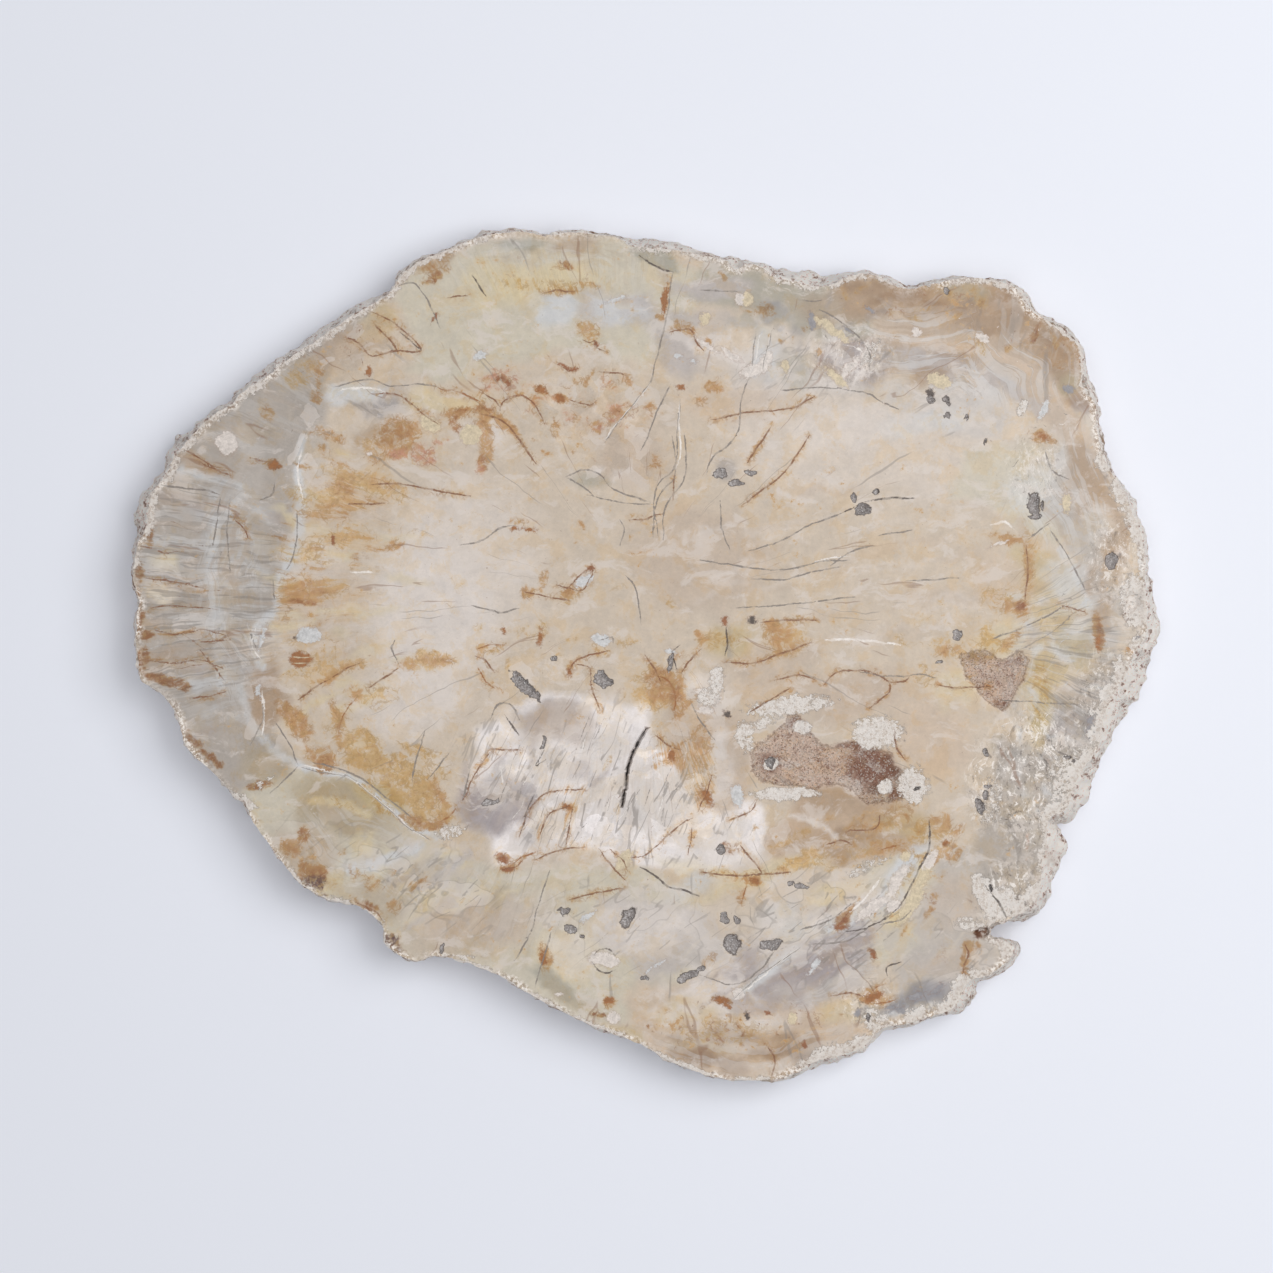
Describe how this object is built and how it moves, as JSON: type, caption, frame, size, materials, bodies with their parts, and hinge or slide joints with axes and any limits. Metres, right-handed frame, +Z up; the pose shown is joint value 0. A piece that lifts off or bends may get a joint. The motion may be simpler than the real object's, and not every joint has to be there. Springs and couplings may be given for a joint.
{
  "type": "petrified wood slice",
  "caption": "Flat cross cut of a fossil tree trunk: polished face with pits and an open crack, irregular rough bark edge, flat sawn back to rest on.",
  "frame": {"origin": "middle of the slice's box in plan, on the flat sawn back that it rests on", "axes": "+X along the slice's longest way, +Y across it in the plane of the face, +Z up out of the polished face"},
  "size_m": [0.3738, 0.3096, 0.022],
  "materials": {
    "stone": "cream, grey and tan agatised wood with rust stains, polished on the face and rough at the bark edge"
  },
  "bodies": {
    "root": {"petrified_wood_slice": "stone"}
  },
  "joints": []
}
